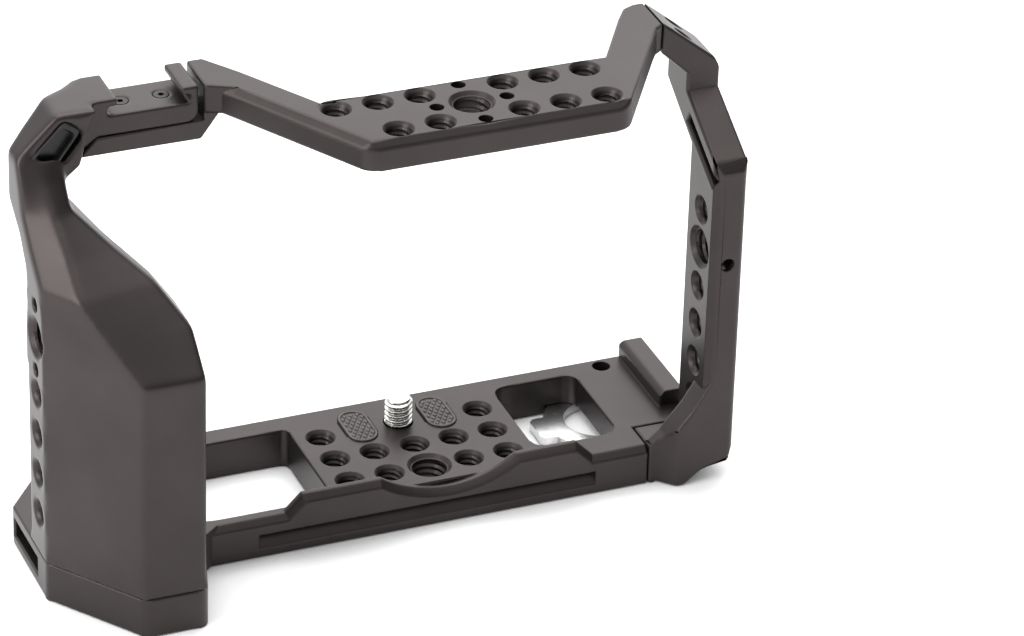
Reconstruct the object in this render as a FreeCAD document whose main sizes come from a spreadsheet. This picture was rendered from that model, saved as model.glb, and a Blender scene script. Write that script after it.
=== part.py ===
import FreeCAD, Part
import math
import os

import Sketcher

# Camera cage seen as the lens sees it: X runs to the right along the base plate,
# Y runs back towards the photographer and Z is up. The origin is the middle
# quarter-inch hole of the base plate, on the face that the camera stands on.

SIZES = [
    # base plate
    ("plate_thick", 9.5), ("plate_front", -19.0), ("plate_rear", 20.8),
    ("plate_seam", 49.4), ("plate_right", 64.4), ("edge_chamfer", 1.6),
    ("lip_depth", 2.9), ("lip_high", 4.1), ("lip_left", -37.3), ("lip_right", 36.2),
    ("mount_x", 1.5), ("mount_z", 27.0), ("mount_round", 28.0),
    ("foot_left", -92.9), ("foot_front", -41.0), ("foot_right", -63.2),
    ("foot_side", -19.5), ("foot_corner", -77.3), ("lug_rear", 5.0), ("lug_cut", -80.6),
    ("door_left", -56.0), ("door_right", -25.0), ("door_front", -15.1), ("door_rear", 15.3),
    ("key_left", 25.2), ("key_right", 45.6), ("key_front", -10.4), ("key_rear", 16.4),
    ("window_round", 3.0), ("rail_top", -4.0), ("rail_low", -7.2),
    ("rail_left", -43.5), ("rail_right", 36.5),
    ("rib_left", 58.6), ("rib_front", -3.6), ("rib_high", 4.0),
    ("strap_front", -13.0), ("strap_rear", 4.0), ("strap_mid", -4.9),
    ("strap_high", 4.4), ("strap_deep", 7.0),
    # threaded and plain holes
    ("pitch", 9.5), ("quarter_bore", 5.2), ("quarter_sink", 7.0),
    ("large_bore", 8.0), ("large_sink", 10.2), ("sink_deep", 0.9),
    ("pin_bore", 3.2), ("pin_circle", 8.0), ("pin_deep", 3.0),
    # camera screw
    ("screw_y", 10.2), ("screw_round", 6.35), ("screw_proud", 6.5), ("screw_fit", 0.1), ("bore_fit", 0.5),
    ("head_round", 14.0), ("head_thick", 2.4), ("well_round", 15.6), ("web_thick", 3.4),
    ("clip_round", 9.6), ("clip_thick", 0.8), ("neck_round", 4.9),
    ("rest_gap", 0.3), ("coin_wide", 1.4), ("coin_deep", 1.3),
    # pads
    ("pad_x", 9.5), ("pad_y", 11.0), ("pad_long", 13.4), ("pad_wide", 7.0),
    ("pad_deep", 1.2), ("pad_proud", 0.4),
    # ring key and magnets
    ("ring_x", 48.0), ("ring_y", 7.6), ("ring_round", 24.6), ("ring_bore", 15.4),
    ("ring_thick", 2.0), ("tab_wide", 8.8), ("tab_long", 15.2), ("key_gap", 0.3),
    ("magnet_round", 4.0), ("magnet_deep", 2.0),
    # top plate
    ("top_z", 99.5), ("top_thick", 6.8), ("top_grid_x", 1.68), ("top_grid_y", -24.5),
    ("top_rows", 12.4), ("top_front", -35.7), ("top_rear", -14.5), ("top_right", 54.4),
    ("top_left", -49.6), ("tongue_left", -78.0), ("tongue_thick", 4.6),
    ("tongue_top", 91.0), ("joint_front", 0.9), ("joint_rear", 12.9), ("joint_gap", 0.15),
    # grip frame
    ("grip_wall", 3.6), ("grip_rear", -8.0), ("grip_front_z", 53.0),
    ("arm_inner", -82.3), ("arm_corner_z", 90.3), ("shoe_right", -50.9),
    ("shoe_mid", -61.9), ("shoe_wide", 18.6), ("shoe_throat", 14.4),
    ("shoe_slot", 2.1), ("shoe_ear", 1.7),
    ("side_hole_y", -14.6), ("side_large_z", 54.1), ("side_first_z", 10.1),
    ("side_pitch", 10.05),
    # side arm
    ("arm_left", 61.0), ("arm_right", 68.8), ("arm_front", -22.6), ("arm_rear", -8.0),
    ("arm_top_front", -4.6), ("arm_top_rear", 6.5), ("arm_knee", 86.6),
    ("arm_hole_y", -15.4), ("arm_first_z", 9.0), ("arm_pitch", 9.7), ("arm_bevel", 1.7),
    ("tab_rear", -9.8),
    # fasteners
    ("bolt_round", 3.0), ("bolt_head", 5.4), ("bolt_head_high", 2.4), ("bolt_fit", 0.05),
    ("hex_wide", 2.0),
    ("bore_reach", 40.0), ("foot_round", 3.0), ("door_round", 1.5), ("rib_bevel", 1.2),
    ("magnet_a_x", 58.0), ("magnet_a_y", 7.6), ("magnet_b_x", 53.8), ("magnet_b_y", -0.8),
    ("peg_x", 53.0), ("peg_y", 17.5), ("peg_bore", 4.2), ("peg_deep", 5.0), ("strap_bar", 3.0),
    ("foot_bolt_a_x", -88.8), ("foot_bolt_a_y", -13.0), ("foot_bolt_b_x", -70.0),
    ("foot_bolt_b_y", -37.0), ("boss_round", 7.0), ("boss_high", 9.0), ("bolt_long", 16.0),
    ("arm_bolt_y", -14.0), ("arm_bolt_z", -4.7), ("arm_bolt_seat", 60.0),
    ("bridge_bolt_y", 0.8), ("bridge_bolt_step", 2.7), ("bridge_bolt_z", 94.6),
    ("bridge_bolt_seat", 57.3), ("shoe_bolt_long", 6.5),
    ("top_bend_left", -28.8), ("top_bend_right", 36.6), ("nose_left", -25.6),
    ("nose_right", 33.6), ("shoe_bolt", 2.0), ("shoe_bolt_y", 6.9),
    ("shoe_bolt_step", 4.6), ("shoe_bolt_head", 3.4), ("shoe_bolt_high", 1.2),
    ("shoe_corner", 2.6), ("brow_deep", 2.8), ("recess_deep", 7.0), ("arm_large_z", 48.0),
    ("clamp_x", 64.8), ("clamp_z", 46.5), ("clamp_bore", 3.2), ("clamp_deep", 5.0),
    ("tip_bevel", 0.6), ("thread_start", 0.3), ("relief", 1.15), ("pad_fit", 0.1),
]



class Size:
    """A length that knows its number and the expression that drives it."""

    def __init__(self, number, text):
        self.number = float(number)
        self.text = text

    def join(self, other, sign, number):
        text = other.text if isinstance(other, Size) else repr(float(other))
        return Size(number, "(%s %s %s)" % (self.text, sign, text))

    def __add__(self, other):
        return self.join(other, "+", self.number + plain(other))

    def __sub__(self, other):
        return self.join(other, "-", self.number - plain(other))

    def __mul__(self, other):
        return self.join(other, "*", self.number * plain(other))

    def __truediv__(self, other):
        return self.join(other, "/", self.number / plain(other))

    def __neg__(self):
        return Size(-self.number, "(0 - %s)" % self.text)

    def __radd__(self, other):
        return self + other

    def __rsub__(self, other):
        return -self + other


def plain(value):
    return value.number if isinstance(value, Size) else float(value)


class Sheet:
    """Every named size of the sheet, as an attribute."""


doc = FreeCAD.newDocument("camera_cage")
table = doc.addObject("Spreadsheet::Sheet", "Sizes")
s = Sheet()
for row, (alias, number) in enumerate(SIZES, 1):
    table.set("A%d" % row, alias)
    table.set("B%d" % row, str(number))
    table.setAlias("B%d" % row, alias)
    setattr(s, alias, Size(number, "Sizes." + alias))
doc.recompute()


def drive(thing, key, value):
    """Bind a property or a sketch dimension to the sheet."""
    if isinstance(value, Size):
        thing.setExpression(key, value.text + " * 1 mm")


def plane_of(body, role):
    return [item for item in body.Origin.OriginFeatures if item.Role == role][0]


def new_body(label):
    body = doc.addObject("PartDesign::Body", label)
    body.Label = label
    return body


def new_sketch(body, name, role, shift=0):
    """Sketch on one of the body's planes, moved along that plane's normal."""
    sketch = body.newObject("Sketcher::SketchObject", name)
    sketch.AttachmentSupport = [(plane_of(body, role), "")]
    sketch.MapMode = "FlatFace"
    sketch.AttachmentOffset = FreeCAD.Placement(
        FreeCAD.Vector(0, 0, plain(shift)), FreeCAD.Rotation())
    drive(sketch, ".AttachmentOffset.Base.z", shift)
    return sketch


def fix(sketch, kind, where, value):
    index = sketch.addConstraint(Sketcher.Constraint(kind, *where, plain(value)))
    drive(sketch, "Constraints[%d]" % index, value)


def draw_loop(sketch, points):
    """Closed outline of straight sides through the points."""
    spots = [FreeCAD.Vector(plain(px), plain(py), 0) for px, py in points]
    first = sketch.GeometryCount
    count = len(spots)
    lines = [Part.LineSegment(spots[i], spots[(i + 1) % count]) for i in range(count)]
    sketch.addGeometry(lines, False)
    sketch.addConstraint([
        Sketcher.Constraint("Coincident", first + i, 2, first + (i + 1) % count, 1)
        for i in range(count)])
    for index, (px, py) in enumerate(points):
        fix(sketch, "DistanceX", (-1, 1, first + index, 1), px)
        fix(sketch, "DistanceY", (-1, 1, first + index, 1), py)


def draw_circle(sketch, px, py, across):
    spot = FreeCAD.Vector(plain(px), plain(py), 0)
    circle = Part.Circle(spot, FreeCAD.Vector(0, 0, 1), plain(across) / 2)
    index = sketch.addGeometry(circle, False)
    fix(sketch, "DistanceX", (-1, 1, index, 3), px)
    fix(sketch, "DistanceY", (-1, 1, index, 3), py)
    fix(sketch, "Diameter", (index,), across)


def draw(sketch, loops):
    for loop in loops:
        if isinstance(loop[0], tuple):
            draw_loop(sketch, loop)
        else:
            draw_circle(sketch, *loop)


def pad(body, name, role, shift, loops, length, flip=False):
    sketch = new_sketch(body, name + "_outline", role, shift)
    draw(sketch, loops)
    feature = body.newObject("PartDesign::Pad", name)
    feature.Profile = sketch
    feature.Length = plain(length)
    drive(feature, "Length", length)
    feature.Reversed = flip
    doc.recompute()
    return feature


def pocket(body, name, role, shift, loops, length, flip=False):
    """Cut the loops out; length None cuts right through, both ways."""
    before = body.Shape.Volume
    sketch = new_sketch(body, name + "_outline", role, shift)
    draw(sketch, loops)
    feature = body.newObject("PartDesign::Pocket", name)
    feature.Profile = sketch
    if length is None:
        feature.Type = "ThroughAll"
        feature.Midplane = True
    else:
        feature.Length = plain(length)
        drive(feature, "Length", length)
        feature.Reversed = flip
    doc.recompute()
    if body.Shape.Volume > before - 1e-6:
        raise RuntimeError("nothing cut by " + name)
    return feature


def trim(body, name, role, points):
    """Keep only what lies inside the outline, seen square to the plane."""
    reach = 400
    frame = [(-reach, -reach), (reach, -reach), (reach, reach), (-reach, reach)]
    return pocket(body, name, role, 0, [frame, points], None)


def dress(body, name, kind, size, pick):
    """Round or bevel the edges of the body that pick chooses."""
    edges = ["Edge%d" % i for i, edge in enumerate(body.Tip.Shape.Edges, 1) if pick(edge)]
    if not edges:
        raise RuntimeError("no edge for " + name)
    base = body.Tip
    feature = body.newObject("PartDesign::" + kind, name)
    feature.Base = (base, edges)
    key = "Radius" if kind == "Fillet" else "Size"
    setattr(feature, key, plain(size))
    drive(feature, key, size)
    doc.recompute()
    if not feature.Shape.Solids:
        raise RuntimeError("no solid after " + name)
    return feature


def ends(edge):
    return edge.Vertexes[0].Point, edge.Vertexes[-1].Point


def stands_at(spots, axis=2):
    """Pick edges along the axis that pass through one of the spots."""
    rest = [i for i in range(3) if i != axis]
    wanted = [(plain(a), plain(b)) for a, b in spots]

    def pick(edge):
        if len(edge.Vertexes) < 2:
            return False
        one, two = ends(edge)
        if any(abs(one[i] - two[i]) > 1e-4 for i in rest):
            return False
        return any(math.hypot(one[rest[0]] - a, one[rest[1]] - b) < 0.05 for a, b in wanted)
    return pick


def holes(body, name, role, face, spots, bore, sink, flip=False, length=None):
    """Straight bores with a countersunk mouth on the sketch plane."""
    pocket(body, name + "_bores", role, face, [(x, y, bore) for x, y in spots],
           length if length is not None else s.bore_reach, flip)
    sketch = new_sketch(body, name + "_mouth_outline", role, face)
    draw(sketch, [(x, y, sink) for x, y in spots])
    feature = body.newObject("PartDesign::Pocket", name + "_mouths")
    feature.Profile = sketch
    feature.Length = plain(s.sink_deep)
    drive(feature, "Length", s.sink_deep)
    feature.TaperAngle = -45
    feature.Reversed = flip
    doc.recompute()


def finish(body):
    body.Placement = FreeCAD.Placement()
    return body


# Base plate.
base = new_body("base_plate")
foot_back = s.plate_front - 2
pad(base, "slab", "XY_Plane", -s.plate_thick, [[
    (s.plate_seam, s.plate_front), (s.plate_seam, s.tab_rear + s.joint_gap),
    (s.plate_right, s.tab_rear + s.joint_gap), (s.plate_right, s.plate_rear),
    (s.lug_cut, s.plate_rear), (s.foot_left, s.lug_rear), (s.foot_left, s.foot_side),
    (s.foot_corner, s.foot_front), (s.foot_right, s.foot_front),
    (s.foot_right + 6, foot_back), (s.foot_right + 8.5, s.plate_front)]], s.plate_thick)
dress(base, "foot_rounds", "Fillet", s.foot_round, stands_at([
    (s.foot_corner, s.foot_front), (s.foot_right, s.foot_front),
    (s.foot_left, s.foot_side), (s.foot_right + 6, foot_back)]))
pad(base, "front_lip", "XZ_Plane", -s.plate_front - s.lip_depth, [[
    (s.lip_left, -1), (s.lip_left, 0), (s.lip_left + s.lip_high, s.lip_high),
    (s.lip_right - s.lip_high, s.lip_high), (s.lip_right, 0), (s.lip_right, -1)]],
    s.lip_depth)
pocket(base, "lens_dip", "XZ_Plane", -s.plate_front - s.lip_depth,
       [(s.mount_x, s.mount_z, s.mount_round * 2)], s.lip_depth + 5, flip=True)


def front_rim(edge):
    one, two = ends(edge)
    front = plain(s.plate_front)
    level = min(one.z, two.z) > -1.3
    return level and abs(one.y - front) < 1e-4 and abs(two.y - front) < 1e-4


dress(base, "front_bevel", "Chamfer", s.edge_chamfer, front_rim)
pocket(base, "battery_door", "XY_Plane", 0, [[
    (s.door_left, s.door_front), (s.door_right - 10.2, s.door_front),
    (s.door_right - 5.6, s.door_front + 4.6), (s.door_right, s.door_front + 4.6),
    (s.door_right, s.door_rear), (s.door_left, s.door_rear)]], None)
dress(base, "door_rounds", "Fillet", s.door_round, stands_at([
    (s.door_right, s.door_rear), (s.door_left, s.door_rear),
    (s.door_left, s.door_front)]))
pocket(base, "key_window", "XY_Plane", 0, [[
    (s.key_left, s.key_front), (s.key_right, s.key_front),
    (s.key_right, s.key_rear), (s.key_left, s.key_rear)]], None)
dress(base, "window_rounds", "Fillet", s.window_round, stands_at([
    (s.key_left, s.key_front), (s.key_right, s.key_front),
    (s.key_right, s.key_rear), (s.key_left, s.key_rear)]))
rail_deep = s.rail_top - s.rail_low
for side, face, inner in (("front", s.plate_front, 1), ("rear", s.plate_rear, -1)):
    pocket(base, side + "_rail", "YZ_Plane", s.rail_left, [[
        (face - inner, s.rail_top), (face + rail_deep * inner, s.rail_top),
        (face, s.rail_low), (face - inner, s.rail_low - 1)]],
        s.rail_right - s.rail_left, flip=True)
pad(base, "stop_rib", "XY_Plane", 0, [[
    (s.rib_left, s.rib_front), (s.plate_right, s.rib_front),
    (s.plate_right, s.plate_rear), (s.rib_left, s.plate_rear)]], s.rib_high)
dress(base, "rib_bevel", "Chamfer", s.rib_bevel, lambda edge: (
    all(abs(v.Point.z - plain(s.rib_high)) < 1e-4 for v in edge.Vertexes)
    and all(v.Point.x < plain(s.rib_left) + 0.01 for v in edge.Vertexes)))
ring_roof = s.ring_thick + s.key_gap
pocket(base, "key_recess", "XY_Plane", -s.plate_thick, [
    (s.ring_x, s.ring_y, s.ring_round + s.key_gap * 2)], ring_roof, flip=True)
magnets = [(s.magnet_a_x, s.magnet_a_y), (s.magnet_b_x, s.magnet_b_y)]
pocket(base, "magnet_seats", "XY_Plane", ring_roof - s.plate_thick,
       [(mx, my, s.magnet_round) for mx, my in magnets], s.magnet_deep, flip=True)
pocket(base, "screw_bore", "XY_Plane", 0,
       [(0, s.screw_y, s.screw_round + s.bore_fit)], None)
pocket(base, "screw_well", "XY_Plane", -s.plate_thick,
       [(0, s.screw_y, s.well_round)], s.plate_thick - s.web_thick, flip=True)
for side in (-1, 1):
    half = s.pad_wide / 2
    low = s.pad_y - s.pad_long / 2 + half
    high = s.pad_y + s.pad_long / 2 - half
    middle = s.pad_x * side
    seat = "left" if side < 0 else "right"
    pocket(base, "pad_seat_" + seat, "XY_Plane", 0, [[
        (middle - half, low), (middle + half, low),
        (middle + half, high), (middle - half, high)]], s.pad_deep)
    pocket(base, "pad_seat_front_" + seat, "XY_Plane", 0, [(middle, low, s.pad_wide)],
           s.pad_deep)
    pocket(base, "pad_seat_rear_" + seat, "XY_Plane", 0, [(middle, high, s.pad_wide)],
           s.pad_deep)
plate_holes = [(s.pitch * c, s.pitch * r) for r, cs in (
    (1, (-2, 2)), (0, (-2, -1, 0, 1, 2)), (-1, (-2, -1, 1, 2))) for c in cs]
holes(base, "quarter_holes", "XY_Plane", 0, plate_holes, s.quarter_bore, s.quarter_sink)
holes(base, "large_hole", "XY_Plane", 0, [(0, -s.pitch)], s.large_bore, s.large_sink)
pocket(base, "peg_hole", "XY_Plane", 0, [(s.peg_x, s.peg_y, s.peg_bore)], s.peg_deep)
pocket(base, "strap_mouth", "YZ_Plane", s.foot_left, [[
    (s.strap_front, s.strap_mid - s.strap_high / 2), (s.strap_rear, s.strap_mid - s.strap_high / 2),
    (s.strap_rear, s.strap_mid + s.strap_high / 2),
    (s.strap_front, s.strap_mid + s.strap_high / 2)]], s.strap_deep, flip=True)
pocket(base, "strap_exit", "XY_Plane", -s.plate_thick, [[
    (s.foot_left + s.strap_bar, s.strap_front), (s.foot_left + s.strap_deep, s.strap_front),
    (s.foot_left + s.strap_deep, s.strap_rear), (s.foot_left + s.strap_bar, s.strap_rear)]],
    s.plate_thick + s.strap_mid, flip=True)
foot_bolts = [(s.foot_bolt_a_x, s.foot_bolt_a_y), (s.foot_bolt_b_x, s.foot_bolt_b_y)]
arm_bolts = [(s.arm_bolt_y, s.arm_bolt_z)]
bridge_bolts = [(s.bridge_bolt_y - s.bridge_bolt_step, s.bridge_bolt_z),
                (s.bridge_bolt_y + s.bridge_bolt_step, s.bridge_bolt_z)]


def bolt_seats(body, name, face, spots, flip):
    """Clearance bore with a counterbore for a cap screw's head."""
    pocket(body, name + "_bores", "XY_Plane", face,
           [(x, y, s.bolt_round + s.bolt_fit * 2) for x, y in spots], s.bolt_long, flip)
    pocket(body, name + "_heads", "XY_Plane", face,
           [(x, y, s.bolt_head + s.bolt_fit * 2) for x, y in spots], s.bolt_head_high, flip)


bolt_seats(base, "foot_bolt", -s.plate_thick, foot_bolts, True)
pocket(base, "arm_bolt_tap", "YZ_Plane", s.plate_seam, [
    (y, z, s.bolt_round + s.bolt_fit * 2) for y, z in arm_bolts],
    s.plate_seam + s.bolt_long - s.arm_bolt_seat + 0.5)
finish(base)

# Top plate.
top = new_body("top_plate")
rise = s.top_z - s.top_thick
pad(top, "bridge", "XY_Plane", rise, [[
    (s.top_left, s.joint_rear), (s.top_left + 3.6, s.joint_rear),
    (s.top_left + 9.2, s.joint_rear - 8.2), (s.top_bend_left, s.top_rear),
    (s.top_bend_right, s.top_rear), (s.top_right - 8.3, 1.0), (s.top_right - 5.4, 5.2),
    (s.top_right - 2.6, s.arm_top_rear), (s.top_right, s.arm_top_rear),
    (s.top_right, s.arm_top_front), (s.top_right - 2, s.arm_top_front - 1.4),
    (s.top_right - 4, s.arm_top_front - 4.4), (s.nose_right, s.top_front),
    (s.nose_left, s.top_front), (s.top_left + 5, -3.4), (s.top_left + 3.4, -0.8),
    (s.top_left, s.joint_front)]], s.top_thick)


def nose_rim(edge):
    """The upper front rim: the nose and both slanted arms ahead of it."""
    one, two = ends(edge)
    middle = (one + two) * 0.5
    level = abs(one.z - plain(s.top_z)) < 1e-4 and abs(two.z - plain(s.top_z)) < 1e-4
    ahead = abs(middle.y - plain(s.top_front)) < 1e-3
    nose_left = abs(min(one.x, two.x) - plain(s.top_left + 5)) < 0.01
    return level and (ahead or (nose_left and (one - two).Length > 12))


dress(top, "nose_bevel", "Chamfer", s.edge_chamfer, nose_rim)
tongue_low = s.tongue_top - s.tongue_thick
pad(top, "tongue", "XZ_Plane", -s.joint_rear, [[
    (s.tongue_left, tongue_low), (s.tongue_left + s.tongue_thick - s.joint_gap,
                                  s.tongue_top - s.joint_gap),
    (s.top_left, s.tongue_top - s.joint_gap), (s.top_left, rise + 1),
    (s.top_left + 6, rise + 1), (s.top_left + 4, rise),
    (s.top_left - 0.6, tongue_low)]], s.joint_rear - s.joint_front)
top_holes = [(s.top_grid_x + s.pitch * c, s.top_grid_y + s.top_rows * r)
             for r, cs in ((0.5, (-3, -2, -1, 1, 2, 3)), (-0.5, (-2, -1, 1, 2, 3)))
             for c in cs]
holes(top, "top_quarter", "XY_Plane", s.top_z, top_holes, s.quarter_bore, s.quarter_sink,
      length=s.top_thick + 2)
holes(top, "top_large", "XY_Plane", s.top_z, [(s.top_grid_x, s.top_grid_y)],
      s.large_bore, s.large_sink, length=s.top_thick + 2)
pins = [(s.top_grid_x + s.pin_circle * a, s.top_grid_y + s.pin_circle * b)
        for a, b in ((1, 0), (-1, 0), (0, 1), (0, -1))]
pocket(top, "top_pins", "XY_Plane", s.top_z, [(x, y, s.pin_bore) for x, y in pins],
       s.pin_deep)
shoe_bolts = [(s.shoe_mid - s.shoe_bolt_step, s.shoe_bolt_y),
              (s.shoe_mid + s.shoe_bolt_step, s.shoe_bolt_y)]
pocket(top, "tongue_taps", "XY_Plane", s.tongue_top,
       [(x, y, s.shoe_bolt + s.bolt_fit * 2) for x, y in shoe_bolts], s.tongue_thick + 2)
pocket(top, "bridge_taps", "YZ_Plane", s.top_right, [
    (y, z, s.shoe_bolt + s.bolt_fit * 2) for y, z in bridge_bolts],
    s.top_right + s.shoe_bolt_long - s.bridge_bolt_seat + 0.5)
finish(top)

# Grip frame.
grip = new_body("grip_frame")


def loft(body, name, layers, cut=False):
    """Ruled skin through level outlines that have the same corners."""
    sketches = []
    for index, (level, corners) in enumerate(layers):
        sketch = new_sketch(body, "%s_level_%d" % (name, index), "XY_Plane", level)
        draw_loop(sketch, corners)
        sketches.append(sketch)
    kind = "PartDesign::SubtractiveLoft" if cut else "PartDesign::AdditiveLoft"
    feature = body.newObject(kind, name)
    feature.Profile = sketches[0]
    feature.Sections = sketches[1:]
    feature.Ruled = True
    doc.recompute()
    return feature


def outline(left, rear, front, ridge_x, ridge_y, right, near, far):
    return [(left, rear), (left, front), (ridge_x, ridge_y), (right, near), (right, far)]


fl = s.foot_left
inner = s.arm_inner
grip_low = outline(fl, s.grip_rear, s.foot_side, s.foot_corner, s.foot_front,
                   s.foot_right, s.foot_front, s.foot_side)
slope_z = s.grip_front_z
skin = [
    (0, grip_low), (slope_z, grip_low),
    (slope_z + 7.2, outline(fl, s.grip_rear - 1, s.foot_side, s.foot_corner - 4.6,
                            s.foot_front + 6.8, s.foot_right, s.foot_front + 8.4,
                            s.foot_side)),
    (slope_z + 14.8, outline(fl, s.grip_rear + 0.5, s.foot_side + 1.5, s.foot_corner - 9.4,
                             s.foot_front + 13.9, s.foot_right - 5.4, s.foot_front + 17.3,
                             s.foot_side + 3)),
    (slope_z + 20.5, outline(fl, -3.5, -11.7, fl + 6.2, -19.5, inner + 6.9, -16.7, -8)),
    (slope_z + 27, outline(fl, 5.5, -6.3, fl + 6.0, -11.5, inner, -9, 5)),
    (slope_z + 33, outline(fl, 7.8, -4.9, fl + 5.4, -6.3, inner, -4.2, 7.8)),
    (slope_z + 37.3, outline(fl, 9, -3.2, fl + 4, -3.4, inner, -2.8, 9))]
loft(grip, "outer_skin", skin)
wall = s.grip_wall
cavity = [(fl + wall, -2), (fl + wall, s.foot_side + 1.2),
          (s.foot_corner + 1.8, s.foot_front + wall), (s.foot_right - wall, s.foot_front + wall),
          (s.foot_right - wall, -2)]
loft(grip, "hand_hollow", [
    (-1, cavity), (slope_z - 2, cavity),
    (slope_z + 12.5, [(fl + wall, -3), (fl + wall, s.foot_side + 3), (fl + 7.6, -22),
                      (s.foot_right - 6.6, -20.5), (s.foot_right - 6.6, -3)]),
    (slope_z + 17.5, [(fl + wall, -4), (fl + wall, -9), (fl + 7.6, -10.5),
                      (s.foot_right - 12, -11), (s.foot_right - 12, -4)])], cut=True)
shoe_top = s.top_z
shoe_floor = shoe_top - s.shoe_slot - s.shoe_ear
pad(grip, "shoulder", "XZ_Plane", -s.joint_rear, [[
    (fl, s.arm_corner_z - 6), (fl, s.arm_corner_z), (fl + 9.4, shoe_top),
    (s.shoe_right, shoe_top), (s.shoe_right, s.tongue_top),
    (s.tongue_left + s.tongue_thick, s.tongue_top), (s.tongue_left, s.tongue_top - s.tongue_thick),
    (inner, s.tongue_top - s.tongue_thick - 3.4)]], s.joint_rear - s.joint_front)
pad(grip, "shoulder_front", "XZ_Plane", -s.joint_rear + 2, [[
    (fl, s.arm_corner_z - 5), (fl, s.arm_corner_z), (fl + 9.4, shoe_top),
    (fl + 18.4, shoe_top), (fl + 16.4, shoe_top - 5),
    (s.tongue_left - 0.2, s.tongue_top - s.tongue_thick + 0.2),
    (inner, s.tongue_top - s.tongue_thick - 3)]], s.joint_rear - 2 + s.brow_deep)
pocket(grip, "shoulder_trim", "XY_Plane", shoe_top + 1, [[
    (fl - 1, s.joint_rear - 8.9), (fl, s.joint_rear - 8.9), (fl + 8.8, s.joint_rear - 5.4),
    (fl + 14.2, s.joint_rear - 2.6), (fl + 17.2, s.joint_rear + 0.1),
    (fl + 17.2, s.joint_rear + 1), (fl - 1, s.joint_rear + 1)]], 14)
dress(grip, "shoe_round", "Fillet", s.shoe_corner,
      stands_at([(s.shoe_right, s.tongue_top)], axis=1))
half_slot = s.shoe_wide / 2
half_throat = s.shoe_throat / 2
pocket(grip, "shoe_channel", "XZ_Plane", -s.joint_rear, [[
    (s.shoe_mid - half_slot, shoe_floor), (s.shoe_mid + half_slot, shoe_floor),
    (s.shoe_mid + half_slot, shoe_floor + s.shoe_slot),
    (s.shoe_mid + half_throat, shoe_floor + s.shoe_slot),
    (s.shoe_mid + half_throat, shoe_top + 1), (s.shoe_mid - half_throat, shoe_top + 1),
    (s.shoe_mid - half_throat, shoe_floor + s.shoe_slot),
    (s.shoe_mid - half_slot, shoe_floor + s.shoe_slot)]], None)
pocket(grip, "shoe_bolt_bores", "XY_Plane", shoe_floor,
       [(x, y, s.shoe_bolt + s.bolt_fit * 2) for x, y in shoe_bolts], 12)
pocket(grip, "shoe_bolt_heads", "XY_Plane", shoe_floor,
       [(x, y, s.shoe_bolt_head + s.bolt_fit * 2) for x, y in shoe_bolts],
       s.shoe_bolt_high)
notch = [(fl + 2.6, s.arm_corner_z - 2.2), (fl + 11.0, shoe_top - 1.9),
         (fl + 15.2, shoe_top - 5.8), (fl + 6.8, s.arm_corner_z - 6.8)]
pocket(grip, "eyelet_recess", "XZ_Plane", s.brow_deep, [notch], s.recess_deep)
for corner, spot in zip("ab", foot_bolts):
    pad(grip, "boss_" + corner, "XY_Plane", 0, [(spot[0], spot[1], s.boss_round)],
        s.boss_high)
side_holes = [(s.side_hole_y, s.side_first_z + s.side_pitch * k) for k in range(4)]
holes(grip, "side_quarter", "YZ_Plane", fl, side_holes, s.quarter_bore, s.quarter_sink,
      True, s.grip_wall + 0.5)
holes(grip, "side_large", "YZ_Plane", fl, [(s.side_hole_y, s.side_large_z)], s.large_bore,
      s.large_sink, True, s.grip_wall + 0.5)
pocket(grip, "side_pins", "YZ_Plane", fl, [
    (s.side_hole_y, s.side_large_z + s.pin_circle, s.pin_bore),
    (s.side_hole_y, s.side_large_z - s.pin_circle, s.pin_bore)], s.pin_deep, True)
pocket(grip, "foot_taps", "XY_Plane", 0,
       [(x, y, s.bolt_round + s.bolt_fit * 2) for x, y in foot_bolts], 7, True)
finish(grip)

# Side arm.
arm = new_body("side_arm")
left = s.plate_seam + s.joint_gap
low = -s.plate_thick
knee = s.arm_knee
pad(arm, "arm_blank", "XZ_Plane", -s.arm_top_rear, [[
    (left, low), (left + 7.4, low), (left + 11.4, low + 3.0), (s.arm_right - 1.4, low + 5.0),
    (s.arm_right, low + 7.5), (s.arm_right, knee), (s.arm_right - 1.2, knee + 2.4),
    (s.top_right + 3.0, s.top_z - 2.2), (s.top_right + s.joint_gap, s.top_z),
    (s.top_right + s.joint_gap, s.top_z - 7.4), (s.arm_left, knee - 0.6),
    (s.arm_left, 14.0), (left + 8.6, 9.4), (left + 5.1, 5.2), (left + 3.3, 2.9),
    (left + 0.6, 0.5), (left, 0)]], s.arm_top_rear - s.arm_front)
trim(arm, "arm_side", "YZ_Plane", [
    (s.arm_front, low), (s.arm_front, 69.6), (s.arm_front + 1.4, 72.0),
    (s.arm_top_front, 81.8), (s.arm_top_front, s.top_z + 1), (s.arm_top_rear, s.top_z + 1),
    (s.arm_top_rear, 80.2), (s.arm_rear, 70.6), (s.arm_rear, s.joint_gap),
    (s.tab_rear, s.joint_gap), (s.tab_rear, low)])
trim(arm, "arm_plan", "XY_Plane", [
    (left, s.plate_front), (left + 1.8, s.plate_front), (left + 5.4, s.arm_front),
    (s.arm_right - 1, s.arm_front), (s.arm_right, s.arm_front + 1),
    (s.arm_right, s.arm_top_rear + 1), (left, s.arm_top_rear + 1)])
pocket(arm, "gusset_back", "XY_Plane", 0, [[
    (left - 1, s.plate_front + s.lip_depth), (s.arm_left, s.plate_front + s.lip_depth),
    (s.arm_left, s.arm_top_rear), (left - 1, s.arm_top_rear)]], 14, True)


def inner_front(edge):
    one, two = ends(edge)
    at_front = all(abs(p.y - plain(s.arm_front)) < 0.01 for p in (one, two))
    at_side = all(abs(p.x - plain(s.arm_left)) < 0.01 for p in (one, two))
    return at_front and at_side


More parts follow.
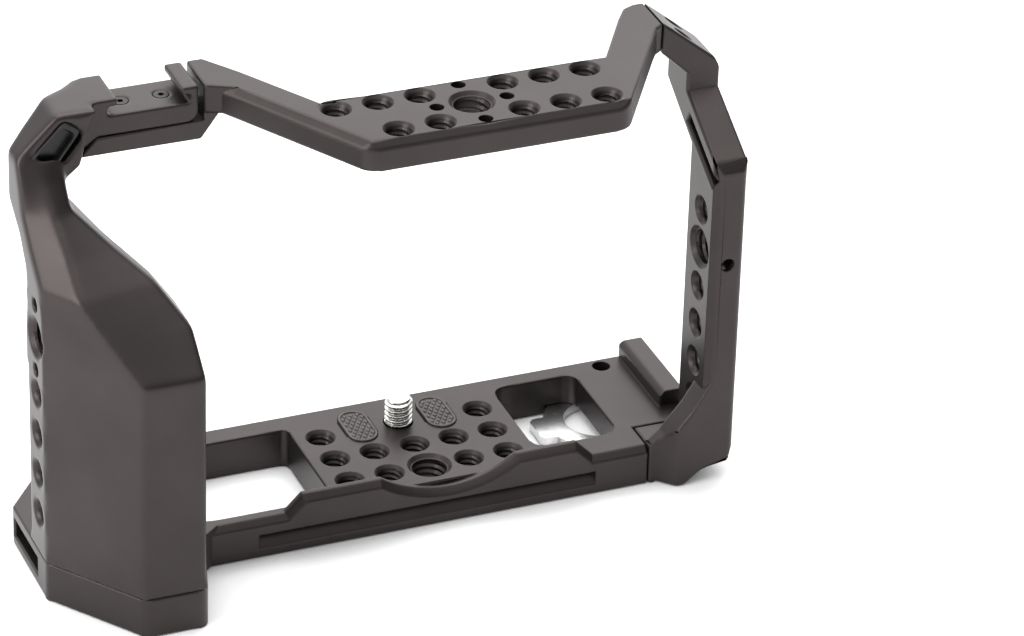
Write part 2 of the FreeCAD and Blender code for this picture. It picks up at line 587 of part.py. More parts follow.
dress(arm, "arm_bevel_inner", "Chamfer", s.arm_bevel, inner_front)
arm_holes = [(s.arm_hole_y, s.arm_first_z + s.arm_pitch * k) for k in (0, 1, 2, 3, 5)]
arm_face = s.arm_left
holes(arm, "arm_quarter", "YZ_Plane", arm_face, arm_holes, s.quarter_bore, s.quarter_sink,
      True)
holes(arm, "arm_large", "YZ_Plane", arm_face, [(s.arm_hole_y, s.arm_large_z)], s.large_bore,
      s.large_sink, True)
pocket(arm, "arm_slot", "YZ_Plane", arm_face, [[
    (-6.8, 76.9), (-21.9, 67.8), (-20.6, 65.6), (-5.5, 74.7)]], 40, True)
pocket(arm, "clamp_bore", "XZ_Plane", -s.arm_front, [
    (s.clamp_x, s.clamp_z, s.clamp_bore)], s.clamp_deep)
for name, spots, seat, bore, head in (
        ("arm_bolt", arm_bolts, s.arm_bolt_seat, s.bolt_round, s.bolt_head),
        ("bridge_bolt", bridge_bolts, s.bridge_bolt_seat, s.shoe_bolt, s.shoe_bolt_head)):
    pocket(arm, name + "_bores", "YZ_Plane", seat,
           [(y, z, bore + s.bolt_fit * 2) for y, z in spots], s.arm_right - s.plate_seam)
    pocket(arm, name + "_heads", "YZ_Plane", seat,
           [(y, z, head + s.bolt_fit * 2) for y, z in spots], s.arm_right - s.plate_seam,
           True)
finish(arm)


# Turned pieces.
def disc(body, name, level, spots, across, length, flip=False):
    return pad(body, name, "XY_Plane", level, [(x, y, across) for x, y in spots], length,
               flip)


at_screw = [(0, s.screw_y)]
screw = new_body("camera_screw")
head_top = -s.web_thick - s.clip_thick - s.rest_gap * 2
disc(screw, "head", head_top - s.head_thick, at_screw, s.head_round, s.head_thick)
disc(screw, "neck", head_top, at_screw, s.neck_round, s.clip_thick + s.rest_gap * 2)
shank_low = head_top + s.clip_thick + s.rest_gap * 2 - 0.2
disc(screw, "shank", shank_low, at_screw, s.screw_round - s.relief,
     s.thread_start - shank_low)
disc(screw, "thread_blank", s.thread_start, at_screw, s.screw_round,
     s.screw_proud - s.thread_start)
pocket(screw, "coin_slot", "XY_Plane", head_top - s.head_thick, [[
    (-8, s.screw_y - s.coin_wide / 2), (8, s.screw_y - s.coin_wide / 2),
    (8, s.screw_y + s.coin_wide / 2), (-8, s.screw_y + s.coin_wide / 2)]],
    s.coin_deep, True)
dress(screw, "screw_tip", "Chamfer", s.tip_bevel, lambda edge: (
    abs(edge.Vertexes[0].Point.z - plain(s.screw_proud)) < 1e-4))
finish(screw)

clip = new_body("screw_clip")
clip_low = head_top + s.rest_gap
pad(clip, "clip_ring", "XY_Plane", clip_low, [
    (0, s.screw_y, s.clip_round), (0, s.screw_y, s.neck_round + s.screw_fit)],
    s.clip_thick)
finish(clip)

for side, label in ((-1, "rubber_pad_left"), (1, "rubber_pad_right")):
    rubber = new_body(label)
    half = s.pad_wide / 2 - s.pad_fit
    low_y = s.pad_y - s.pad_long / 2 + s.pad_wide / 2
    high_y = s.pad_y + s.pad_long / 2 - s.pad_wide / 2
    middle = s.pad_x * side
    thick = s.pad_deep + s.pad_proud
    pad(rubber, "web", "XY_Plane", -s.pad_deep, [[
        (middle - half, low_y), (middle + half, low_y), (middle + half, high_y),
        (middle - half, high_y)]], thick)
    disc(rubber, "front_end", -s.pad_deep, [(middle, low_y)], half * 2, thick)
    disc(rubber, "rear_end", -s.pad_deep, [(middle, high_y)], half * 2, thick)
    finish(rubber)

key = new_body("ring_key")
key_low = -s.plate_thick + s.key_gap / 2
pad(key, "ring", "XY_Plane", key_low, [(s.ring_x, s.ring_y, s.ring_round)], s.ring_thick)
tab_far = s.ring_x - s.tab_long
pad(key, "tab", "XY_Plane", key_low, [[
    (s.ring_x, s.ring_y - s.tab_wide / 2 - 3), (s.ring_x, s.ring_y + s.tab_wide / 2 + 3),
    (tab_far + 4.2, s.ring_y + s.tab_wide / 2), (tab_far + 1, s.ring_y + s.tab_wide / 2),
    (tab_far, s.ring_y + s.tab_wide / 2 - 1), (tab_far, s.ring_y - s.tab_wide / 2 + 1),
    (tab_far + 1, s.ring_y - s.tab_wide / 2),
    (tab_far + 4.2, s.ring_y - s.tab_wide / 2)]], s.ring_thick)
pocket(key, "ring_hole", "XY_Plane", 0, [(s.ring_x, s.ring_y, s.ring_bore)], None)
finish(key)


def group(label, shapes):
    """Several like solids in one node, read from the sheet's sizes."""
    item = doc.addObject("Part::Feature", label)
    item.Label = label
    item.Shape = Part.makeCompound(shapes)
    item.Placement = FreeCAD.Placement()
    return item


def rod(across, length, px, py, pz, direction=(0, 0, 1)):
    return Part.makeCylinder(plain(across) / 2, plain(length),
                             FreeCAD.Vector(plain(px), plain(py), plain(pz)),
                             FreeCAD.Vector(*direction))


def cap_screw(across, head, head_high, length, spot, way):
    """Socket screw whose head face lies at spot and whose shank runs along way."""
    body = rod(head, head_high, 0, 0, 0)
    body = body.fuse(rod(across, length, 0, 0, head_high - 0.01))
    wide = plain(s.hex_wide * head / s.bolt_head) / math.sqrt(3)
    corners = [FreeCAD.Vector(wide * math.cos(math.radians(60 * k)),
                              wide * math.sin(math.radians(60 * k)), 0) for k in range(6)]
    hexagon = Part.Face(Part.makePolygon(corners + corners[:1]))
    deep = FreeCAD.Vector(0, 0, plain(head_high * 0.6))
    body = body.cut(hexagon.extrude(deep)).removeSplitter()
    body.Placement = FreeCAD.Placement(
        FreeCAD.Vector(*[plain(value) for value in spot]),
        FreeCAD.Rotation(FreeCAD.Vector(0, 0, 1), FreeCAD.Vector(*way)))
    return body


magnet_low = plain(ring_roof - s.plate_thick) + 0.1
group("key_magnets", [rod(s.magnet_round - 0.1, s.magnet_deep - 0.15, mx, my, magnet_low)
                      for mx, my in magnets])
inset = 0.1
thin_head = s.bolt_head_high - s.bolt_fit * 2
group("foot_screws", [
    cap_screw(s.bolt_round, s.bolt_head, thin_head,
              s.plate_thick + 4 - s.bolt_head_high, (x, y, inset - s.plate_thick), (0, 0, 1))
    for x, y in foot_bolts])
group("arm_screws", [
    cap_screw(s.bolt_round, s.bolt_head, thin_head, s.bolt_long - 0.2,
              (s.arm_bolt_seat + thin_head + 0.05, y, z), (-1, 0, 0)) for y, z in arm_bolts])
small_head = s.shoe_bolt_high - s.bolt_fit * 2
group("shoe_screws", [
    cap_screw(s.shoe_bolt, s.shoe_bolt_head, small_head, s.shoe_bolt_long,
              (x, y, shoe_floor - inset), (0, 0, -1)) for x, y in shoe_bolts])
group("bridge_screws", [
    cap_screw(s.shoe_bolt, s.shoe_bolt_head, small_head, s.shoe_bolt_long - 0.2,
              (s.bridge_bolt_seat + small_head + 0.05, y, z), (-1, 0, 0))
    for y, z in bridge_bolts])

doc.recompute()
pieces = [item for item in doc.Objects
          if item.TypeId in ("PartDesign::Body", "Part::Feature") and not item.InList]
for item in doc.Objects:
    if "Invalid" in item.State or "Error" in item.State:
        raise RuntimeError("not solved: " + item.Name)
for piece in pieces:
    if piece.Shape.isNull() or not piece.Shape.isValid():
        raise RuntimeError("bad shape: " + piece.Label)
os.makedirs("parts", exist_ok=True)
for piece in pieces:
    piece.Shape.exportStep("parts/%s.step" % piece.Label)
    box = piece.Shape.BoundBox
    print("%-18s solids %d volume %9.1f  x %6.1f %6.1f  y %6.1f %6.1f  z %6.1f %6.1f" % (
        piece.Label, len(piece.Shape.Solids), piece.Shape.Volume,
        box.XMin, box.XMax, box.YMin, box.YMax, box.ZMin, box.ZMax))
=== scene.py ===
import math

import bmesh
import bpy
from mathutils import Matrix, Vector


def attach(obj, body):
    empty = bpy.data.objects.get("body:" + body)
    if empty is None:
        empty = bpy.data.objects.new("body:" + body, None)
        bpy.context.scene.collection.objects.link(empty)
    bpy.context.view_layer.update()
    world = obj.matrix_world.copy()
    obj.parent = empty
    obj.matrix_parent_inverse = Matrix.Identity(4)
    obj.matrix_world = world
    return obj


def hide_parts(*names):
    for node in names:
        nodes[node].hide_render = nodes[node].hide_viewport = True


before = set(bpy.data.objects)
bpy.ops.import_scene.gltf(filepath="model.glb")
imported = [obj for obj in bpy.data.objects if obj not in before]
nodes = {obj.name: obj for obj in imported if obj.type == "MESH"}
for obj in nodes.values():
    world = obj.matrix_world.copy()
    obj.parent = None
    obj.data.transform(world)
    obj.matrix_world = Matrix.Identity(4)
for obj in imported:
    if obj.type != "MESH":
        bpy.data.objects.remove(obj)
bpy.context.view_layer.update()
MM = 0.001

# Sizes and places of the solids that the looks repeat, in millimetres.
PITCH = 9.5
PLATE = 9.5
TOP_Z = 99.5
TOP_THICK = 6.8
TOP_GRID = (1.68, -24.5)
TOP_ROWS = 12.4
FOOT_LEFT = -92.9
GRIP_WALL = 3.6
SIDE_Y, SIDE_LOW, SIDE_STEP, SIDE_LARGE = -14.6, 10.1, 10.05, 54.1
ARM_IN, ARM_OUT = 61.0, 68.8
ARM_Y, ARM_LOW, ARM_STEP, ARM_LARGE = -15.4, 9.0, 9.7, 48.0
SCREW_Y = 10.2
PAD_WIDE, PAD_LONG, PAD_Y, PAD_TOP = 6.8, 13.2, 11.0, 0.4

# Threads: radius of the bore and lead, then what each hole keeps free.
QUARTER, LARGE = (2.6, 1.27), (4.0, 1.5875)
MOUTH = 1.0
UP, ACROSS = (0, 0, 1), (1, 0, 0)

# Mesh limits, in metres.
WELD = 0.000005
LONG_EDGE = 0.0019
VOXEL = 0.00038


# Materials.
def new_material(name):
    mat = bpy.data.materials.new(name)
    mat.use_nodes = True
    return mat, mat.node_tree, mat.node_tree.nodes["Principled BSDF"]


def add(tree, kind, **settings):
    """A node whose inputs or properties have the given values."""
    node = tree.nodes.new(kind)
    for key, value in settings.items():
        if key in node.inputs:
            node.inputs[key].default_value = value
        else:
            setattr(node, key, value)
    return node


def noise(tree, stretch=(1.0, 1.0, 1.0), **settings):
    """Noise fixed to the object, finer along an axis with a larger stretch."""
    place = add(tree, "ShaderNodeTexCoord")
    drawn = add(tree, "ShaderNodeMapping", Scale=stretch)
    field = add(tree, "ShaderNodeTexNoise", **settings)
    tree.links.new(place.outputs["Object"], drawn.inputs["Vector"])
    tree.links.new(drawn.outputs["Vector"], field.inputs["Vector"])
    return field.outputs["Fac"]


def tint(tree, shader, field, tones, spots):
    """Base colour that runs from the dark tone to the light one with the noise."""
    shades = tree.nodes.new("ShaderNodeValToRGB")
    for element, tone, spot in zip(shades.color_ramp.elements, tones, spots):
        element.position = spot
        element.color = (*tone, 1)
    tree.links.new(field, shades.inputs["Fac"])
    tree.links.new(shades.outputs["Color"], shader.inputs["Base Color"])


def gloss(tree, shader, field, low, high):
    """Roughness that varies with the noise."""
    span = add(tree, "ShaderNodeMapRange", **{"To Min": low, "To Max": high})
    tree.links.new(field, span.inputs["Value"])
    tree.links.new(span.outputs["Result"], shader.inputs["Roughness"])


def relief(tree, shader, field, strength, distance, edge=None):
    """Bump from the noise, with edges shaded round over a width in millimetres."""
    bump = add(tree, "ShaderNodeBump", Strength=strength, Distance=distance)
    tree.links.new(field, bump.inputs["Height"])
    if edge:
        soft = add(tree, "ShaderNodeBevel", samples=6, Radius=edge * MM)
        tree.links.new(soft.outputs["Normal"], bump.inputs["Normal"])
    tree.links.new(bump.outputs["Normal"], shader.inputs["Normal"])


def satin_metal(name, tones, rough, metallic, grain=0.06, edge=0.35):
    """Blasted, anodised metal: fine grain, faint clouding and soft edges."""
    mat, tree, shader = new_material(name)
    clouds = noise(tree, Scale=45.0, Detail=4.0, Roughness=0.55)
    fine = noise(tree, Scale=4200.0, Detail=2.0, Roughness=0.5)
    tint(tree, shader, clouds, tones, (0.3, 0.7))
    gloss(tree, shader, fine, rough - 0.04, rough + 0.05)
    relief(tree, shader, fine, grain, 0.00006, edge)
    shader.inputs["Metallic"].default_value = metallic
    return mat


def turned_steel(name, colour, rough, stretch):
    """Plain steel with fine lathe or grinding lines."""
    mat, tree, shader = new_material(name)
    lines = noise(tree, stretch, Scale=900.0, Detail=3.0, Roughness=0.6)
    tint(tree, shader, lines, (tuple(c * 0.82 for c in colour), colour), (0.35, 0.65))
    gloss(tree, shader, lines, rough - 0.07, rough + 0.07)
    relief(tree, shader, lines, 0.12, 0.00004, 0.15)
    shader.inputs["Metallic"].default_value = 1.0
    return mat


def moulded_rubber(name):
    """Dull rubber with a dusty mottle."""
    mat, tree, shader = new_material(name)
    dust = noise(tree, Scale=700.0, Detail=4.0, Roughness=0.65)
    tint(tree, shader, dust, ((0.040, 0.035, 0.034), (0.085, 0.076, 0.073)), (0.3, 0.75))
    relief(tree, shader, dust, 0.3, 0.00008)
    shader.inputs["Roughness"].default_value = 0.62
    return mat


ANODISED = satin_metal(
    "anodised", ((0.036, 0.0305, 0.0298), (0.046, 0.039, 0.038)), 0.36, 0.80)
THREAD = satin_metal(
    "cut_thread", ((0.030, 0.026, 0.025), (0.045, 0.038, 0.037)), 0.30, 0.85, 0.03, 0.05)
BLACKED = satin_metal(
    "black_oxide", ((0.020, 0.020, 0.021), (0.034, 0.033, 0.033)), 0.36, 0.8, 0.03, 0.1)
STAINLESS = turned_steel("stainless", (0.70, 0.69, 0.66), 0.26, (1.0, 1.0, 14.0))
PLATED = turned_steel("plated_key", (0.74, 0.74, 0.74), 0.24, (1.0, 12.0, 1.0))
MAGNET = turned_steel("nickel", (0.66, 0.65, 0.62), 0.18, (3.0, 3.0, 3.0))
RUBBER = moulded_rubber("pad_rubber")


def clothe(obj, mat):
    obj.data.materials.clear()
    obj.data.materials.append(mat)


for mat, labels in (
        (ANODISED, ("base_plate", "top_plate", "grip_frame", "side_arm")),
        (BLACKED, ("foot_screws", "arm_screws", "shoe_screws", "bridge_screws")),
        (STAINLESS, ("screw_clip", "camera_screw")), (PLATED, ("ring_key",)),
        (MAGNET, ("key_magnets",)), (RUBBER, ("rubber_pad_left", "rubber_pad_right"))):
    for label in labels:
        clothe(nodes[label], mat)


# Helpers for meshes.
def put(name, data):
    """An object of this data, linked to the scene."""
    obj = bpy.data.objects.new(name, data)
    bpy.context.scene.collection.objects.link(obj)
    return obj


def opened(node):
    """A node's mesh, opened for editing."""
    work = bmesh.new()
    work.from_mesh(nodes[node].data)
    return work


def weld(work):
    """Join the points that the solid's faces have twice."""
    bmesh.ops.remove_doubles(work, verts=work.verts, dist=WELD)


def closed(work, name):
    """A new mesh of the edited one."""
    mesh = bpy.data.meshes.new(name)
    work.to_mesh(mesh)
    work.free()
    return mesh


def cut_off(work, point, normal):
    """Cut away what lies past a plane, and return the edges of the cut."""
    cut = bmesh.ops.bisect_plane(
        work, geom=work.verts[:] + work.edges[:] + work.faces[:],
        plane_co=Vector(point) * MM, plane_no=normal, clear_outer=True)
    return [e for e in cut["geom_cut"] if isinstance(e, bmesh.types.BMEdge)]


def applied(obj):
    """Give an object the mesh that its modifiers make, and drop them."""
    depsgraph = bpy.context.evaluated_depsgraph_get()
    obj_mesh = bpy.data.meshes.new_from_object(obj.evaluated_get(depsgraph))
    obj.modifiers.clear()
    obj.data = obj_mesh


def mesh_piece(name, points, faces, mat, body):
    """A piece of its own, from points in metres and faces."""
    mesh = bpy.data.meshes.new(name)
    mesh.from_pydata([tuple(p) for p in points], [], faces)
    mesh.validate()
    work = bmesh.new()
    work.from_mesh(mesh)
    bmesh.ops.recalc_face_normals(work, faces=work.faces)
    work.to_mesh(mesh)
    work.free()
    obj = put(name, mesh)
    clothe(obj, mat)
    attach(obj, body)
    return obj


def tube_faces(rings, count):
    """Faces between rings of as many points each, with both ends closed."""
    faces = []
    for a in range(0, (rings - 1) * count, count):
        b = a + count
        faces += [(a + i, a + (i + 1) % count, b + (i + 1) % count, b + i)
                  for i in range(count)]
    faces.append(tuple(range((rings - 1) * count, rings * count)))
    faces.append(tuple(reversed(range(count))))
    return faces


# Grip.
def free_share(x, y, z):
    """How far a point of the grip may flow: 0 where it is pinned, 1 where it is free."""
    foot_top, shoe_left, shoe_low, blend = 0.8, -76.5, 80, 1.0
    share = min(1.0, max(0.0, (z - foot_top) / 2.5))
    if x > shoe_left and z > shoe_low:
        share *= max(0.0, 1.0 - (x - shoe_left) / 3.0)
    if x < FOOT_LEFT + GRIP_WALL + 0.6:
        holes = [(SIDE_LOW + SIDE_STEP * k, 5.0) for k in range(4)] + [(SIDE_LARGE, 10.5)]
        for hole_z, reach in holes:
            gap = math.hypot(y - SIDE_Y, z - hole_z)
            share *= min(1.0, max(0.0, (gap - reach) / blend))
    return share


def rounded_grip():
    """The grip with the blended edges of the blasted part.

    The solid is resampled finely and relaxed where the real surface flows:
    the palm's ridges, the slope and the shoulder. Holes, shoe and foot keep
    their crisp form, because their points are pinned. A plane takes off the
    shoulder's rear corner.
    """
    work = opened("grip_frame")
    weld(work)
    rim = cut_off(work, (-93.0, 3.4, 0), (-0.481, 0.877, 0))
    bmesh.ops.triangle_fill(work, edges=rim, use_beauty=True)
    skin = put("grip_skin", closed(work, "grip_skin"))
    voxel = skin.modifiers.new("resample", "REMESH")
    voxel.mode = "VOXEL"
    voxel.voxel_size = VOXEL
    voxel.adaptivity = 0.0
    applied(skin)
    weight = skin.vertex_groups.new(name="flow")
    for vertex in skin.data.vertices:
        share = free_share(*(c / MM for c in vertex.co))
        if share > 0:
            weight.add([vertex.index], share, "REPLACE")
    relax = skin.modifiers.new("relax", "SMOOTH")
    relax.factor = 0.5
    relax.iterations = 60
    relax.vertex_group = "flow"
    bpy.context.evaluated_depsgraph_get().update()
    applied(skin)
    for face in skin.data.polygons:
        face.use_smooth = True
    clothe(skin, ANODISED)
    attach(skin, "frame")
    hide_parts("grip_frame")


# Plates and arm.
def merge(work, drilled):
    """Join coplanar triangles, but not on the faces across the drilled axes."""
    loose = [e for e in work.edges if len(e.link_faces) == 2 and not any(
        abs(face.normal[axis]) > 0.99 for face in e.link_faces for axis in drilled)]
    bmesh.ops.dissolve_limit(work, angle_limit=math.radians(0.3), verts=[], edges=loose)


def sharp(edge):
    """Whether an edge sticks out, and turns by 17 to 126 degrees."""
    return (len(edge.link_faces) == 2 and edge.is_convex
            and 0.3 < edge.calc_face_angle(0) < 2.2)


def near(point, corners, reach):
    return any(math.hypot(point.x - x, point.y - y) < reach for x, y in corners)


def bevel(work, edges, width, segments):
    bmesh.ops.bevel(work, geom=edges, offset=width * MM, segments=segments,
                    profile=0.5, affect="EDGES", clamp_overlap=False)


def softened(node, width, drilled, corners=(), corner_width=2.4):
    """A solid whose long outer edges are broken, and whose listed corners are round."""
    work = opened(node)
    weld(work)
    merge(work, drilled)
    upright = []
    for edge in work.edges:
        one, two = (v.co / MM for v in edge.verts)
        if (sharp(edge) and math.hypot(one.x - two.x, one.y - two.y) < 0.02
                and abs(one.z - two.z) > 2 and near(one, corners, 0.3)):
            upright.append(edge)
    if upright:
        bevel(work, upright, corner_width, 6)
        merge(work, drilled)
    outer = []
    for edge in work.edges:
        middle = (edge.verts[0].co + edge.verts[1].co) / 2 / MM
        if sharp(edge) and (edge.calc_length() > LONG_EDGE
                            or near(middle, corners, corner_width + 0.6)):
            outer.append(edge)
    bevel(work, outer, width, 2)
    piece = put(node + "_soft", closed(work, node + "_soft"))
    clothe(piece, ANODISED)
    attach(piece, "frame")
    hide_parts(node)


# Shoulder recess.
def recess_shade_liner():
    """Dark ribbed liner in the slanted recess of the shoulder: partly a dark insert, partly
    painted shade, since its black sheath covers the recess walls where shade falls.
    """
    front, deep, corner, steps = -3.15, 3.6, 1.5, 6
    outline = [Vector(p) for p in ((-90.4, 89.6), (-82.0, 98.2), (-78.3, 95.6), (-86.3, 84.6))]
    middle = sum(outline, Vector((0, 0))) / 4
    rounded = []
    for k, spot in enumerate(outline):
        into = (outline[k - 1] - spot).normalized() * corner
        away = (outline[(k + 1) % 4] - spot).normalized() * corner
        for step in range(steps + 1):
            f = step / steps
            rounded.append(spot + into * (1 - f) ** 2 + away * f ** 2)
    points = []
    # The outer rings at full size lie on the recess walls and floor: their black is painted
    # shade.
    for scale, depth in ((1.0, front + deep), (1.0, front + 0.25), (0.965, front),
                         (0.80, front), (0.74, front + 0.5), (0.72, front + 1.6)):
        for spot in rounded:
            x, z = middle + (spot - middle) * scale
            points.append(Vector((x, depth, z)) * MM)
    mesh_piece("recess_shade_liner", points, tube_faces(6, len(rounded)), BLACKED, "frame")


# Threads.
def female_thread(start, axis, wall, lead, length, steps=28):
    """Ridge that winds up a bore: base in the wall, crest towards its axis."""
    turn = Vector(UP).rotation_difference(Vector(axis)).to_matrix()
    rings = int(length / lead * steps)
    half, depth, buried, run_out = lead * 0.36, lead * 0.30, 0.04, steps * 0.4
    points, faces = [], []
    for k in range(rings + 1):
        angle = math.tau * k / steps
        height = min(max(length * k / rings, half), length - half)
        fade = min(1.0, k / run_out, (rings - k) / run_out)
        out = Vector((math.cos(angle), math.sin(angle), 0))
        for radius, shift in ((wall + buried, -half), (wall - depth * fade, 0.0),
                              (wall + buried, half)):
            spot = out * radius + Vector((0, 0, height + shift))
            points.append((Vector(start) + turn @ spot) * MM)
        if k:
            a, b = (k - 1) * 3, k * 3
            for i in range(2):
                faces.append((a + i, a + i + 1, b + i + 1, b + i))
            faces.append((a + 2, a, b, b + 2))
    last = len(points) - 3
    faces += [(0, 1, 2), (last, last + 2, last + 1)]
    return points, faces


def thread_set(name, starts, axis, size, length):
    """All the threads of one row of holes, as one piece."""
    points, faces = [], []
    for start in starts:
        more, quads = female_thread(start, axis, *size, length)
        shift = len(points)
        points += more
        faces += [tuple(i + shift for i in quad) for quad in quads]
    mesh_piece(name, points, faces, THREAD, "frame")


def all_threads():
    """Threads of the base plate, the bridge plate, the grip's side and the arm."""
    base_gap, top_gap, side_gap, arm_gap = 0.2, 0.1, 0.05, 0.2
    low, long = -PLATE + base_gap, PLATE - MOUTH - base_gap
    thread_set("base_threads", [
        (PITCH * c, PITCH * r, low) for r, cs in (
            (1, (-2, 2)), (0, (-2, -1, 0, 1, 2)), (-1, (-2, -1, 1, 2))) for c in cs],
        UP, QUARTER, long)
    thread_set("base_large_thread", [(0, -PITCH, low)], UP, LARGE, long)

    low, long = TOP_Z - TOP_THICK + top_gap, TOP_THICK - MOUTH - top_gap
    thread_set("top_threads", [
        (TOP_GRID[0] + PITCH * c, TOP_GRID[1] + TOP_ROWS * r, low) for r, cs in (
            (0.5, (-3, -2, -1, 1, 2, 3)), (-0.5, (-2, -1, 1, 2, 3))) for c in cs],
        UP, QUARTER, long)
    thread_set("top_large_thread", [(*TOP_GRID, low)], UP, LARGE, long)

    start, long = FOOT_LEFT + MOUTH, GRIP_WALL - MOUTH - side_gap
    thread_set("side_threads", [(start, SIDE_Y, SIDE_LOW + SIDE_STEP * k) for k in range(4)],
               ACROSS, QUARTER, long)
    thread_set("side_large_thread", [(start, SIDE_Y, SIDE_LARGE)], ACROSS, LARGE, long)

    start, long = ARM_IN + MOUTH, ARM_OUT - ARM_IN - MOUTH - arm_gap
    thread_set("arm_threads", [(start, ARM_Y, ARM_LOW + ARM_STEP * k) for k in (0, 1, 2, 3, 5)],
               ACROSS, QUARTER, long)
    thread_set("arm_large_thread", [(start, ARM_Y, ARM_LARGE)], ACROSS, LARGE, long)


# Camera screw.
def stud_foot(start):
    """The solid's head and shank, up to where the thread starts."""
    work = opened("camera_screw")
    rim = cut_off(work, (0, 0, start), UP)
    bmesh.ops.edgeloop_fill(work, edges=rim)
    foot = put("stud_foot", closed(work, "stud_foot"))
    clothe(foot, STAINLESS)
    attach(foot, "screw")
    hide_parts("camera_screw")


def stud_thread(start):
    """The stud as a rod whose radius follows the thread, with a coned end."""
    top, radius, root, cone_high, cone_slope = 6.5, 3.17, 2.62, 0.9, 0.75
    steps, rows = 40, 64
    points = []
    for j in range(rows + 1):
        height = start + (top - start) * j / rows
        cone = radius - max(0.0, cone_high - (top - height)) * cone_slope
        for i in range(steps):
            angle = math.tau * i / steps
            phase = (height / QUARTER[1] - i / steps) % 1.0
            wave = min(1.0, max(0.0, 1.5 - abs(phase * 2 - 1) * 2.1))
            reach = min(root + (radius - root) * wave, cone) if j else root
            points.append(Vector((math.cos(angle) * reach, SCREW_Y + math.sin(angle) * reach,
                                  height)) * MM)
    mesh_piece("stud_thread", points, tube_faces(rows + 1, steps), STAINLESS, "screw")


# Pads.
def pad_relief(name, middle_x):
    """Raised lozenges on a pad, inside a plain rim."""
    rim, step_x, step_y = 0.65, 1.55, 2.35
    lozenge_x, lozenge_y, high, crest, spare = 0.62, 1.0, 0.38, 0.62, 0.30
    half_x, half_y = PAD_WIDE / 2 - rim, PAD_LONG / 2 - rim
    points, faces = [], []
    for row in range(-12, 13):
        for col in range(-6, 7):
            px = (col + (0.5 if row % 2 else 0.0)) * step_x
            py = row * step_y / 2
            over = max(0.0, abs(py) - (half_y - half_x))
            if math.hypot(abs(px) + spare, over + spare if over else 0) > half_x:
                continue
            shift = len(points)
            for share, height in ((1.0, PAD_TOP - high), (crest, PAD_TOP)):
                for sx, sy in ((1, 0), (0, 1), (-1, 0), (0, -1)):
                    points.append(Vector((middle_x + px + sx * lozenge_x * share,
                                          PAD_Y + py + sy * lozenge_y * share, height)) * MM)
            faces += [tuple(shift + i for i in face) for face in tube_faces(2, 4)]
    mesh_piece(name, points, faces, RUBBER, "frame")


def pad_tray(name, node, middle_x):
    """Pad body: rim at full height, field sunk a little under the lozenges."""
    low, sunk, steps = -1.2, 0.08, 48
    straight = (PAD_LONG - PAD_WIDE) / 2
    rings = ((0, low), (0, PAD_TOP - 0.12), (0.12, PAD_TOP), (0.5, PAD_TOP), (0.62, sunk))
    points = []
    for inset, height in rings:
        radius = PAD_WIDE / 2 - inset
        for k in range(steps):
            angle = math.tau * k / steps
            side = straight if math.sin(angle) > 0 else -straight
            points.append(Vector((middle_x + math.cos(angle) * radius,
                                  PAD_Y + side + math.sin(angle) * radius, height)) * MM)
    obj = mesh_piece(name, points, tube_faces(len(rings), steps), RUBBER, "frame")
    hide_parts(node)


STUD_START = 0.3
BRIDGE_CORNERS = [(33.6, -35.7), (-25.6, -35.7), (36.6, -14.5), (-28.8, -14.5), (46.1, 1.0),
                  (50.4, -9.0)]
rounded_grip()
softened("top_plate", 0.55, (2,), BRIDGE_CORNERS)
softened("side_arm", 0.6, (0, 1, 2))
softened("base_plate", 0.45, (2,))
all_threads()
stud_foot(STUD_START)
stud_thread(STUD_START)
recess_shade_liner()
for word, side in (("left", -1), ("right", 1)):
    pad_tray("pad_body_" + word, "rubber_pad_" + word, PITCH * side)
    pad_relief("pad_lozenges_" + word, PITCH * side)

# Stage: a pale floor just under the plate.
floor_mesh = bpy.data.meshes.new("floor")
reach, level = 6.0, -PLATE * MM - 0.0002
floor_mesh.from_pydata([(-reach, -reach, level), (reach, -reach, level), (reach, reach, level),
                        (-reach, reach, level)], [], [(0, 1, 2, 3)])
floor = put("floor", floor_mesh)
paper, tree, shader = new_material("pale_floor")
shader.inputs["Base Color"].default_value = (0.93, 0.93, 0.93, 1)
shader.inputs["Roughness"].default_value = 0.9
shader.inputs["Specular IOR Level"].default_value = 0.1
floor_mesh.materials.append(paper)

# Light: a white studio that glows from two sides, and two soft lamps.
world = bpy.data.worlds.new("studio")
bpy.context.scene.world = world
bpy.context.scene.view_settings.view_transform = "Standard"
world.use_nodes = True
sky = world.node_tree.nodes["Background"]
sky.inputs["Color"].default_value = (1.0, 1.0, 1.0, 1)
heading = add(world.node_tree, "ShaderNodeTexCoord")
wire = world.node_tree.links.new


def glow(way, start, strength):
    """Light that swells from start, a cosine, towards one direction of the sky."""
    facing = add(world.node_tree, "ShaderNodeVectorMath", operation="DOT_PRODUCT")
    facing.inputs[1].default_value = Vector(way).normalized()
    swell = add(world.node_tree, "ShaderNodeMapRange", interpolation_type="SMOOTHSTEP")
    swell.inputs["From Min"].default_value = start
    swell.inputs["To Max"].default_value = strength
    wire(heading.outputs["Generated"], facing.inputs[0])
    wire(facing.outputs["Value"], swell.inputs["Value"])
    return swell.outputs["Result"]


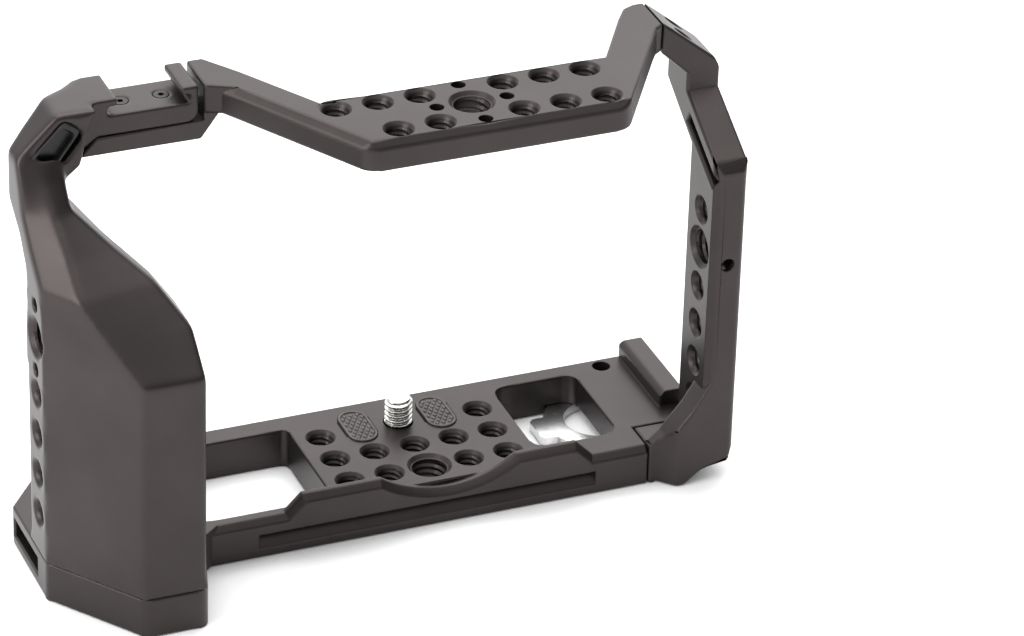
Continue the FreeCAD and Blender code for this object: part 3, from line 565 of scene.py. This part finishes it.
def plus(one, two):
    """Sum of an output and either another output or a plain value."""
    total = add(world.node_tree, "ShaderNodeMath", operation="ADD")
    wire(one, total.inputs[0])
    if isinstance(two, float):
        total.inputs[1].default_value = two
    else:
        wire(two, total.inputs[1])
    return total.outputs["Value"]


EVEN = 0.12
glows = plus(glow((-0.35, 0.10, 0.93), -0.15, 1.25), glow((0.30, 0.80, 0.50), 0.55, 1.9))
wire(plus(glows, EVEN), sky.inputs["Strength"])


def lamp(name, where, aim, size, power):
    """Rectangular lamp that faces a point, in metres and watts."""
    data = bpy.data.lights.new(name, "AREA")
    data.shape = "RECTANGLE"
    data.size, data.size_y = size
    data.energy = power
    obj = put(name, data)
    obj.location = where
    obj.rotation_mode = "QUATERNION"
    obj.rotation_quaternion = (Vector(aim) - Vector(where)).to_track_quat("-Z", "Y")


lamp("key_left", (-0.75, -0.15, 0.45), (0, 0, 0.04), (0.5, 0.7), 5.0)
lamp("top_soft", (0.05, 0.20, 0.95), (0, 0, 0.05), (0.8, 0.6), 5.0)

# Camera, as fitted to the photograph: place in millimetres, focal length in its pixels.
AZIMUTH, ELEVATION, ROLL = (math.radians(v) for v in (-22.869, 30.411, 1.89))
CAMERA_AT = (-375.506, -944.508, 630.141)
SENSOR, FOCAL_PIXELS, PHOTO_WIDE = 36.0, 5303.875, 1024
right = Vector((math.cos(AZIMUTH), math.sin(AZIMUTH), 0))
back = Vector((math.sin(AZIMUTH) * math.cos(ELEVATION),
               -math.cos(AZIMUTH) * math.cos(ELEVATION), math.sin(ELEVATION)))
up = back.cross(right)
side = right * math.cos(ROLL) + up * math.sin(ROLL)
over = up * math.cos(ROLL) - right * math.sin(ROLL)
view = bpy.data.cameras.new("view")
view.sensor_width = SENSOR
view.lens = SENSOR * FOCAL_PIXELS / PHOTO_WIDE
view.clip_start, view.clip_end = 0.05, 30.0
camera = put("view", view)
turn = Matrix((side, over, back)).transposed().to_4x4()
camera.matrix_world = Matrix.Translation(Vector(CAMERA_AT) * MM) @ turn
bpy.context.scene.camera = camera
